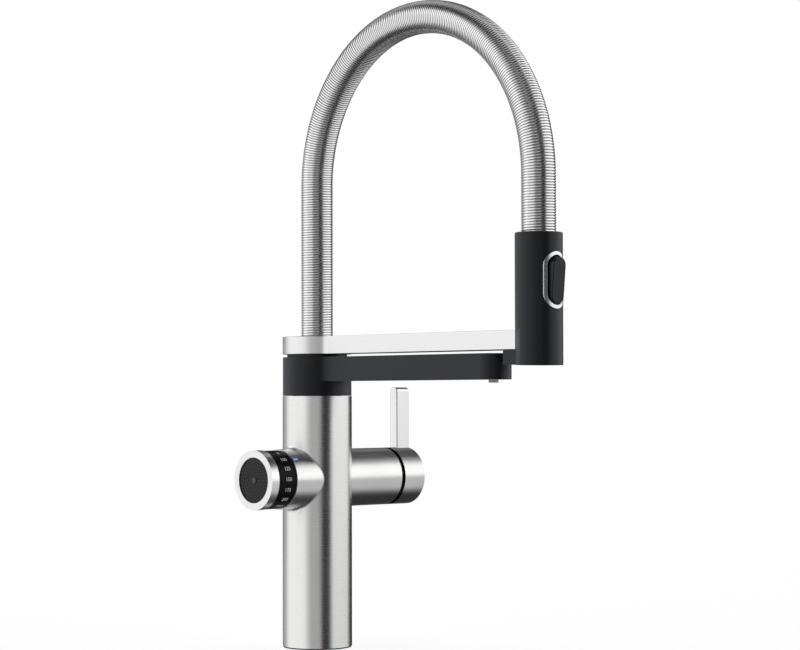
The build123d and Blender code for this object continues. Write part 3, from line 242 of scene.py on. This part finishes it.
def lay_floor():
    """Pale worktop. The camera sees it nearly white, still with the tap's soft shadow on it. Metal shows the studio
    in its place."""
    mesh = bpy.data.meshes.new("worktop")
    corners = [(x * FLOOR_HALF, y * FLOOR_HALF, FLOOR_Z) for x, y in ((-1, -1), (1, -1), (1, 1), (-1, 1))]
    mesh.from_pydata(corners, [], [(0, 1, 2, 3)])
    floor = bpy.data.objects.new("worktop", mesh)
    bpy.context.scene.collection.objects.link(floor)
    floor.visible_glossy = False
    material = bpy.data.materials.new("pale_worktop")
    tree = nodes, links = fresh_tree(material)
    plain = nodes.new("ShaderNodeBsdfDiffuse")
    plain.inputs["Color"].default_value = (FLOOR_GREY, FLOOR_GREY, FLOOR_GREY, 1)
    matt = nodes.new("ShaderNodeBsdfDiffuse")
    matt.inputs["Color"].default_value = (SEEN_GREY, SEEN_GREY, SEEN_GREY, 1)
    glow = nodes.new("ShaderNodeEmission")
    glow.inputs["Strength"].default_value = SEEN_GLOW
    both = nodes.new("ShaderNodeAddShader")
    links.new(matt.outputs[0], both.inputs[0])
    links.new(glow.outputs[0], both.inputs[1])
    seen = nodes.new("ShaderNodeMixShader")
    links.new(straight_view(tree), seen.inputs[0])
    links.new(plain.outputs[0], seen.inputs[1])
    links.new(both.outputs[0], seen.inputs[2])
    out = nodes.new("ShaderNodeOutputMaterial")
    links.new(seen.outputs[0], out.inputs["Surface"])
    mesh.materials.append(material)


light_studio()
lay_floor()


# ---------------------------------------------------------------- finishes
AXIS_Z = 130.5 * mm     # height of the axis that the knob and the mixer share


def start_finish(name, colour, metal=0.0, rough=0.5, coat=0.0, level=0.5, stretch=0.0):
    """Principled surface with its plain numbers on its own sockets."""
    material = bpy.data.materials.new(name)
    nodes, links = fresh_tree(material)
    surface = nodes.new("ShaderNodeBsdfPrincipled")
    surface.inputs["Base Color"].default_value = (*colour, 1)
    surface.inputs["Metallic"].default_value = metal
    surface.inputs["Roughness"].default_value = rough
    surface.inputs["Coat Weight"].default_value = coat
    surface.inputs["Coat Roughness"].default_value = 0.1
    surface.inputs["Specular IOR Level"].default_value = level
    surface.inputs["Anisotropic"].default_value = stretch
    out = nodes.new("ShaderNodeOutputMaterial")
    links.new(surface.outputs[0], out.inputs["Surface"])
    material.diffuse_color = (*colour, 1)
    return material, (nodes, links), surface


def scaled(colour, factor):
    """Colour times a factor, no part over 1."""
    return tuple(min(1, c * factor) for c in colour)


def grain(tree, size, detail=3.0, centre=(0, 0, 0)):
    """Noise between 0 and 1 whose grains have that size in millimetres along X, Y and Z. Centre moves it, so that two
    noises on one surface differ."""
    nodes, links = tree
    place = nodes.new("ShaderNodeMapping")
    links.new(object_place(tree), place.inputs["Vector"])
    place.inputs["Location"].default_value = centre
    place.inputs["Scale"].default_value = tuple(1 / (mm * s) for s in size)
    noise = nodes.new("ShaderNodeTexNoise")
    noise.inputs["Scale"].default_value = 1.0
    noise.inputs["Detail"].default_value = detail
    links.new(place.outputs[0], noise.inputs["Vector"])
    return noise.outputs[0]


def tone(tree, surface, value, dark, light, low=0.35, high=0.65):
    """Base colour from dark to light as the value goes from low to high."""
    shade = mixed_colour(tree, ramp(tree, value, low, high), dark, light)
    tree[1].new(shade, surface.inputs["Base Color"])
    return shade


def relief(tree, surface, value, depth):
    """Bump of that depth in millimetres."""
    nodes, links = tree
    bump = nodes.new("ShaderNodeBump")
    bump.inputs["Distance"].default_value = depth * mm
    bump.inputs["Strength"].default_value = 1.0
    links.new(value, bump.inputs["Height"])
    links.new(bump.outputs[0], surface.inputs["Normal"])


def brushed_steel(name, colour, lines, rough=0.27, contrast=0.03, depth=0.0004, stretch=0.0, axis="Z", shaded_gap=None):
    """Steel with fine brush lines: grains long along the brushing, with wider clouds of wear over them. A stretch draws
    the gloss out along the axis. A shaded gap is the stretch of X, in millimetres, painted black as painted shade in
    and beside the running gap between two parts."""
    line_play, cloud_play, cloud_size = 0.02, 0.02, 35
    # Fade and colour of the painted shade in the gap
    gap_shade_soft, gap_shade_black, quarter_turn = 0.02, (0.004, 0.004, 0.004), 0.25
    material, tree, surface = start_finish(name, colour, metal=1.0, rough=rough, stretch=stretch)
    nodes, links = tree
    fine = grain(tree, lines)
    clouds = grain(tree, (cloud_size, cloud_size, cloud_size), detail=2.0, centre=(3, 1, 2))
    shade = tone(tree, surface, fine, scaled(colour, 1 - contrast), scaled(colour, 1 + contrast))
    wear = sums(tree, "ADD", spread(tree, fine, -line_play, line_play),
                spread(tree, clouds, rough - cloud_play, rough + cloud_play))
    links.new(wear, surface.inputs["Roughness"])
    relief(tree, surface, fine, depth)
    if stretch:
        round_axis = nodes.new("ShaderNodeTangent")
        round_axis.direction_type = "RADIAL"
        round_axis.axis = axis
        links.new(round_axis.outputs[0], surface.inputs["Tangent"])
        surface.inputs["Anisotropic Rotation"].default_value = quarter_turn
    # Painted shade: over that stretch of X the base colour turns black, in the gap between housing and cap and on the
    # edges beside it.
    if shaded_gap:
        black = band(tree, object_axes(tree)["X"], shaded_gap[0] * mm, shaded_gap[1] * mm, gap_shade_soft * mm)
        links.new(mixed_colour(tree, black, shade, gap_shade_black), surface.inputs["Base Color"])
    return material


def fine_coat(name, colour, rough, pore=0.25, depth=0.006, level=0.5, coat=0.0, sheen=0.0):
    """Paint, rubber or moulded plastic: fine pores, and a slow drift of tone and gloss. Sheen is the cool bloom that a
    powder coat has at a glancing angle."""
    pore_play, drift_size, contrast = 0.04, 18, 0.08
    cool_gloss, cool_sheen = (0.86, 0.91, 1.0), (0.84, 0.90, 1.0)
    material, tree, surface = start_finish(name, colour, rough=rough, level=level, coat=coat)
    if sheen:
        surface.inputs["Specular Tint"].default_value = (*cool_gloss, 1)
        surface.inputs["Sheen Weight"].default_value = sheen
        surface.inputs["Sheen Roughness"].default_value = 0.5
        surface.inputs["Sheen Tint"].default_value = (*cool_sheen, 1)
    pores = grain(tree, (pore, pore, pore), detail=2.0)
    drift = grain(tree, (drift_size, drift_size, drift_size), detail=2.0, centre=(5, 2, 7))
    tone(tree, surface, drift, scaled(colour, 1 - contrast), scaled(colour, 1 + contrast))
    gloss = sums(tree, "ADD", spread(tree, pores, -pore_play, pore_play),
                 spread(tree, drift, rough - 0.02, rough + 0.03))
    tree[1].new(gloss, surface.inputs["Roughness"])
    relief(tree, surface, pores, depth)
    return material


def drawn_metal(name, colour, rough, lines, dark=0.8, depth=0.01, play=0.07):
    """Turned, drawn or plated metal, with tool marks and a dull tarnish."""
    tarnish_size = 9
    material, tree, surface = start_finish(name, colour, metal=1.0, rough=rough)
    marks = grain(tree, lines)
    tarnish = grain(tree, (tarnish_size, tarnish_size, tarnish_size), detail=4.0, centre=(2, 6, 1))
    tone(tree, surface, tarnish, scaled(colour, dark), colour)
    tree[1].new(spread(tree, marks, rough - play, rough + play), surface.inputs["Roughness"])
    relief(tree, surface, marks, depth)
    return material


def perforated_black(name, colour, spot):
    """Black face of the start button: a small pale rim round each hole of its five rings.
    Ring k lies at 5 + 2.6 k mm and has 12 + 6 k holes."""
    first_radius, ring_step, last_ring = 5.0, 2.6, 4.0
    first_count, more_holes = 12.0, 6.0
    hole_edge, rim_edge, pore, depth = 0.40, 0.58, 0.3, 0.006
    half, whole_holes = 0.5, 100.0     # added whole holes keep the number above 0
    material, tree, surface = start_finish(name, colour, rough=0.42, level=0.26)
    axes = object_axes(tree)
    across, rise = axes["Y"], sums(tree, "SUBTRACT", axes["Z"], AXIS_Z)
    radius = sums(tree, "SQRT", sums(tree, "ADD", sums(tree, "POWER", across, 2.0), sums(tree, "POWER", rise, 2.0)))
    radius = sums(tree, "MULTIPLY", radius, 1 / mm)
    ring = sums(tree, "ROUND", sums(tree, "DIVIDE", sums(tree, "SUBTRACT", radius, first_radius), ring_step))
    ring = sums(tree, "MAXIMUM", sums(tree, "MINIMUM", ring, last_ring), 0.0)
    count = sums(tree, "MULTIPLY_ADD", ring, more_holes, first_count)
    angle = sums(tree, "ARCTAN2", rise, sums(tree, "MULTIPLY", across, -1.0))
    holes = sums(tree, "MULTIPLY", sums(tree, "DIVIDE", angle, 2 * math.pi), count)
    share = sums(tree, "FRACT", sums(tree, "ADD", holes, whole_holes + half))
    hole_step = sums(tree, "DIVIDE", sums(tree, "MULTIPLY", radius, 2 * math.pi), count)
    side = sums(tree, "MULTIPLY", sums(tree, "SUBTRACT", share, half), hole_step)
    out = sums(tree, "SUBTRACT", radius, sums(tree, "MULTIPLY_ADD", ring, ring_step, first_radius))
    gap = sums(tree, "SQRT", sums(tree, "ADD", sums(tree, "POWER", side, 2.0), sums(tree, "POWER", out, 2.0)))
    tone(tree, surface, ramp(tree, gap, hole_edge, rim_edge, 1.0, 0.0), colour, spot, 0.0, 1.0)
    relief(tree, surface, grain(tree, (pore, pore, pore), detail=2.0), depth)
    return material


def lit_mark(name):
    """Blue light pipe: brighter beads in a row along X, one to each step."""
    first_x, step = -39.2 * mm, 1.67 * mm
    bead_low, bead_high, bead_soft = 0.25, 0.75, 0.2
    material, tree, surface = start_finish(name, (0.10, 0.26, 0.75), rough=0.3, coat=0.5)
    share = sums(tree, "FRACT", sums(tree, "DIVIDE", sums(tree, "SUBTRACT", object_axes(tree)["X"], first_x), step))
    bead = band(tree, share, bead_low, bead_high, bead_soft)
    shade = mixed_colour(tree, bead, (0.12, 0.28, 0.80), (0.22, 0.42, 0.95))
    tree[1].new(shade, surface.inputs["Emission Color"])
    tree[1].new(shade, surface.inputs["Base Color"])
    surface.inputs["Emission Strength"].default_value = 0.75
    return material


def circuit_green(name):
    """Solder mask with a grid of paler copper tracks under it."""
    mask, darker_mask, track = (0.02, 0.16, 0.07), (0.02, 0.13, 0.06), (0.12, 0.34, 0.14)
    tracks_per_metre, track_share = 420.0, 0.03
    material, tree, surface = start_finish(name, mask, rough=0.3, coat=0.6)
    nodes, links = tree
    place = nodes.new("ShaderNodeMapping")
    links.new(object_place(tree), place.inputs["Vector"])
    place.inputs["Rotation"].default_value = (0, math.pi / 2, 0)
    brick = nodes.new("ShaderNodeTexBrick")
    brick.inputs["Scale"].default_value = tracks_per_metre
    brick.inputs["Mortar Size"].default_value = track_share
    for socket, colour in (("Color1", mask), ("Color2", darker_mask), ("Mortar", track)):
        brick.inputs[socket].default_value = (*colour, 1)
    links.new(place.outputs[0], brick.inputs["Vector"])
    links.new(brick.outputs["Color"], surface.inputs["Base Color"])
    return material


def wound_steel(name):
    """Bright strip of the hose, with painted shade that darkens it down in the groove between two turns, where it is
    also duller.
    """
    # Colour of the crest, and the painted shade at the bottom of the groove
    crest, groove_shade = (0.83, 0.83, 0.84), (0.19, 0.19, 0.20)
    groove_dull, smear_size = 0.25, 3
    material, tree, surface = start_finish(name, (0.78, 0.78, 0.79), metal=1.0, rough=0.2)
    groove = tree[0].new("ShaderNodeAttribute")
    groove.attribute_name = "groove"
    smear = grain(tree, (smear_size, smear_size, smear_size))
    # Painted shade: the base colour darkens deeper in the groove.
    tone(tree, surface, groove.outputs["Fac"], crest, groove_shade, 0.25, 0.98)
    gloss = sums(tree, "ADD", ramp(tree, groove.outputs["Fac"], 0.2, 1.0, 0.0, groove_dull),
                 spread(tree, smear, 0.15, 0.24))
    tree[1].new(gloss, surface.inputs["Roughness"])
    return material


steel = (0.80, 0.795, 0.79)
bright = (0.82, 0.82, 0.82)
coat_black = (0.0030, 0.0032, 0.0042)
turned = (0.10, 22, 22)     # brush lines round the X axis, in millimetres
finishes = {
    "column": brushed_steel("steel_brushed_round_column", steel, (22, 22, 0.10), stretch=0.6, axis="Z"),
    # The barrel and the lever cap share painted shade, black from X 69.6 to 73.3 mm, in and beside the gap between
    # them.
    "barrel": brushed_steel("steel_brushed_round_barrel", steel, turned, rough=0.3, stretch=0.8, axis="X",
                            shaded_gap=(69.6, 73.3)),
    "boss": brushed_steel("steel_brushed_round_boss", steel, turned, rough=0.3, stretch=0.8, axis="X"),
    "rim": brushed_steel("steel_turned_rim", bright, turned, rough=0.28, contrast=0.02, stretch=0.3, axis="X"),
    "arm": brushed_steel("steel_satin_arm", bright, (0.15, 14, 0.15), rough=0.28, contrast=0.015, depth=0.0005),
    "blade": brushed_steel("steel_satin_blade", bright, (0.15, 0.15, 14), rough=0.25, contrast=0.012, depth=0.0003),
    "black_coat": fine_coat("black_powder_coat", coat_black, 0.37, pore=0.18, level=0.32, sheen=0.50),
    "spray_coat": fine_coat("black_powder_coat_spray", coat_black, 0.36, pore=0.18, level=0.32, sheen=0.50),
    "dial_black": fine_coat("black_dial_plastic", (0.004, 0.004, 0.005), 0.36, pore=0.15, depth=0.003, level=0.10),
    "rocker_black": fine_coat("black_button_plastic", (0.0045, 0.005, 0.006), 0.36, pore=0.2, depth=0.004, level=0.36,
                              sheen=0.15),
    "neck_black": fine_coat("black_neck_plastic", (0.006, 0.006, 0.007), 0.45, pore=0.2),
    "inner_plastic": fine_coat("dark_moulded_plastic", (0.09, 0.09, 0.10), 0.5, pore=0.4),
    "black_rubber": fine_coat("black_rubber", (0.022, 0.022, 0.022), 0.72, pore=0.3, depth=0.01),
    "hose_rubber": fine_coat("water_hose_rubber", (0.05, 0.05, 0.05), 0.6, pore=0.35, depth=0.01),
    "white_tube": fine_coat("white_tube", (0.78, 0.78, 0.76), 0.4, pore=0.4),
    "grey_plastic": fine_coat("grey_nozzle_plastic", (0.75, 0.75, 0.76), 0.45),
    "lens_plastic": fine_coat("smoked_lens", (0.035, 0.032, 0.030), 0.25, pore=0.5, depth=0.002, level=0.4, coat=0.3),
    "print_white": fine_coat("white_print", (0.95, 0.95, 0.95), 0.5, pore=0.12, depth=0.002),
    "chrome_trim": drawn_metal("chrome_trim", (0.82, 0.82, 0.83), 0.27, (6, 6, 12), dark=0.96, depth=0.0001, play=0.01),
    "magnet_nickel": drawn_metal("nickel_plate", (0.70, 0.67, 0.61), 0.22, (1, 1, 1)),
    "zinc_steel": drawn_metal("zinc_plate", (0.62, 0.63, 0.65), 0.34, (0.5, 0.5, 0.5)),
    "brass": drawn_metal("turned_brass", (0.72, 0.55, 0.27), 0.3, (6, 6, 0.15)),
    "copper_tube": drawn_metal("drawn_copper", (0.72, 0.38, 0.24), 0.32, (0.2, 0.2, 9)),
    "circuit_board": circuit_green("circuit_board"),
    "blue_light": lit_mark("blue_light_mark"),
    "hose_steel": wound_steel("wound_hose_steel"),
    "touch_black": perforated_black("perforated_black", (0.0050, 0.0055, 0.0075), (0.15, 0.155, 0.17)),
}
# Nodes whose finish isn't the plain one of their material slot
by_node = {
    "body_tube": "column", "mixer_housing": "barrel", "lever_cap": "barrel", "knob_boss": "boss", "knob_rim": "rim",
    "spout_arm": "arm", "spout_arm_cover": "arm", "lever_blade": "blade", "touch_disc": "touch_black",
    "dial_ring": "dial_black", "rocker_button": "rocker_black", "neck_spacer": "neck_black", "spray_body": "spray_coat",
}
for subpart in frame["record"]["subparts"]:
    name, slot = subpart["node"], subpart["material_slot"]
    mesh = nodes[name].data
    mesh.materials.clear()
    mesh.materials.append(finishes[by_node.get(name, slot)])
# The barrel beside the blade keeps its dark bands
nodes["lever_blade"].visible_glossy = False


# ---------------------------------------------------------------- new pieces
def add_piece(name, points, faces, material, smooth=True):
    """Object at the origin whose mesh holds the points, in metres, and the faces."""
    mesh = bpy.data.meshes.new(name)
    mesh.from_pydata(points.tolist(), [], faces)
    mesh.materials.append(finishes[material])
    mesh.polygons.foreach_set("use_smooth", np.full(len(mesh.polygons), smooth))
    piece = bpy.data.objects.new(name, mesh)
    bpy.context.scene.collection.objects.link(piece)
    return piece


def mesh_points(mesh):
    """All points of a mesh, one in each row."""
    flat = np.zeros(len(mesh.vertices) * 3)
    mesh.vertices.foreach_get("co", flat)
    return flat.reshape(-1, 3)


# The hose leaves its seat in the hub, goes over an arch of four arcs and ends in the cap of the spray head. Each arc
# turns an eighth. The first three have a share of half the reach as their radius, and the last one what is left.
REACH, SEAT_Z, SHOULDER_Z, END_Z = 0.238, 0.2366, 0.3584, 0.305
EIGHTH = math.pi / 4
ARC_SHARES = (1.008, 0.954, 1.008)
arc_radii = [share * REACH / 2 for share in ARC_SHARES]
turned_in = [math.cos(i * EIGHTH) - math.cos((i + 1) * EIGHTH) for i in range(4)]
arc_radii.append((REACH - sum(r * t for r, t in zip(arc_radii, turned_in))) / turned_in[3])
risen = [math.sin((i + 1) * EIGHTH) - math.sin(i * EIGHTH) for i in range(4)]
drop_z = SHOULDER_Z + sum(r * t for r, t in zip(arc_radii, risen))
knots = np.cumsum([0, SHOULDER_Z - SEAT_Z] + [r * EIGHTH for r in arc_radii] + [drop_z - END_Z])
HOSE_LENGTH = knots[-1]


def hose_course(s):
    """Centre of the hose and the way it points at the lengths s.
    The way turns evenly along each arc, and the centre is the running sum of the way."""
    samples = 20001
    fine = np.linspace(0, HOSE_LENGTH, samples)
    turn = np.interp(fine, knots, [0, 0, EIGHTH, 2 * EIGHTH, 3 * EIGHTH, math.pi, math.pi])
    way = np.stack([-np.sin(turn), np.cos(turn)], 1)
    middle = (way[1:] + way[:-1]) / 2 * (fine[1] - fine[0])
    centre = np.vstack([[0, SEAT_Z], [0, SEAT_Z] + np.cumsum(middle, 0)])
    y, z = np.interp(s, fine, centre[:, 0]), np.interp(s, fine, centre[:, 1])
    return y, z, np.interp(s, fine, turn)


def around_course(s, theta, radius):
    """Points at the angle theta and that radius round the centre line: theta 0 is +X, and a quarter turn on is outside
    the arch."""
    y, z, a = hose_course(s)
    side = radius * np.sin(theta)
    return np.stack([radius * np.cos(theta), y + side * np.cos(a), z + side * np.sin(a)], -1)


def wind_hose():
    """One strip wound as a right-hand screw: its place along the hose is (turn + share) * pitch, where the share
    runs over the strip's section, and its radius is the outer radius less the section's depth."""
    turns, facets = 279, 40
    outer, groove_depth = 12.3 * mm, 0.6 * mm
    share = np.array([0.0, 0.12, 0.24, 0.70, 0.88])
    depth = np.array([1.0, 0.30, 0.0, 0.0, 0.45])
    pitch = HOSE_LENGTH / turns
    i = np.arange((turns + 1) * facets + 1)
    s = np.clip((i[:, None] / facets - 1 + share[None, :]) * pitch, 0, HOSE_LENGTH)
    theta = np.broadcast_to((2 * math.pi * i / facets)[:, None], s.shape)
    radius = np.broadcast_to((outer - groove_depth * depth)[None, :], s.shape)
    points = around_course(s, theta, radius).reshape(-1, 3)
    m, rows = len(share), len(i) - 1
    a = (np.arange(rows)[:, None] * m + np.arange(m - 1)[None, :]).ravel()
    strip = np.stack([a, a + m, a + m + 1, a + 1], 1)
    b = np.arange(rows - facets) * m
    join = np.stack([b + m - 1, b + 2 * m - 1, b + (facets + 1) * m, b + facets * m], 1)
    faces = np.vstack([strip, join]).tolist()
    first = (np.arange(facets) * m).tolist()
    last = ((rows - facets + np.arange(facets)) * m + m - 1).tolist()
    faces += [first[::-1], last]
    piece = add_piece("wound_hose_strip", points, faces, "hose_steel")
    # Depth into the groove at each point, which the hose's material reads for its painted shade
    dark = piece.data.attributes.new("groove", "FLOAT", "POINT")
    dark.data.foreach_set("value", np.tile(depth, len(i)).astype(np.float32))
    return piece


def draw_tube(name, radius, material):
    """Plain tube on the hose's centre line: a circle of that radius at evenly spaced lengths, closed at both ends."""
    steps, facets = 180, 24
    s, theta = np.meshgrid(np.linspace(0, HOSE_LENGTH, steps), np.arange(facets) * 2 * math.pi / facets, indexing="ij")
    points = around_course(s, theta, np.full(s.shape, radius)).reshape(-1, 3)
    ring, step = np.meshgrid(np.arange(facets), np.arange(steps - 1))
    a, b = (step * facets + ring).ravel(), (step * facets + (ring + 1) % facets).ravel()
    faces = np.stack([a, b, b + facets, a + facets], 1).tolist()
    faces += [list(range(facets))[::-1], list(range((steps - 1) * facets, steps * facets))]
    return add_piece(name, points, faces, material)


def flat_label(text, height, heavier):
    """Points of a number lying flat, with its middle at 0, and its faces. Heavier is how far its strokes grow."""
    curve = bpy.data.curves.new("label", "FONT")
    curve.body, curve.size, curve.align_x = text, height, "CENTER"
    curve.resolution_u = 3
    curve.offset = heavier
    holder = bpy.data.objects.new("label", curve)
    bpy.context.scene.collection.objects.link(holder)
    mesh = bpy.data.meshes.new_from_object(holder.evaluated_get(bpy.context.evaluated_depsgraph_get()))
    points = mesh_points(mesh)
    corners, starts = np.zeros(len(mesh.loops), int), np.zeros(len(mesh.polygons), int)
    mesh.loops.foreach_get("vertex_index", corners)
    mesh.polygons.foreach_get("loop_start", starts)
    bpy.data.objects.remove(holder)
    bpy.data.meshes.remove(mesh)
    bpy.data.curves.remove(curve)
    return points - (points.min(0) + points.max(0)) / 2, np.split(corners, starts[1:])


def print_dial():
    """Numbers round the dial: each flat text is centred, then rolled on to the dial, so that its width runs along X
    and its height up round the dial's axis, a hair above the surface."""
    labels = (0, 100, 125, 150, 175, 200, 250, 300, 350, 400, 450, 500, 600, 700, 800, 900, 1000)
    height, heavier, hair = 4.1 * mm, 0.05 * mm, 0.07 * mm
    middle_x, dial_r, first = -47.4 * mm, 22.4 * mm, math.radians(66.1)
    radius = dial_r + hair
    points, faces, count = [], [], 0
    for i, label in enumerate(labels):
        flat, corners = flat_label(str(label), height, heavier)
        angle = first - i * 2 * math.pi / len(labels) + flat[:, 1] / dial_r
        points.append(np.stack([middle_x + flat[:, 0], -radius * np.cos(angle), AXIS_Z + radius * np.sin(angle)], 1))
        faces += [(face + count).tolist() for face in corners]
        count += len(flat)
    return add_piece("dial_numbers", np.vstack(points), faces, "print_white", smooth=False)


hose = wind_hose()
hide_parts("wound_hose")
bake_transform(hose)
inner_hose = draw_tube("water_hose_tube", 7.5 * mm, "hose_rubber")
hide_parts("water_hose")
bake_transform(inner_hose)
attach(print_dial(), "dial")

# The return spring gets its own copy of its mesh, and the X of each of its points is kept
spring = nodes["button_spring"]
spring_x = mesh_points(spring.data)[:, 0]
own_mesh(spring)
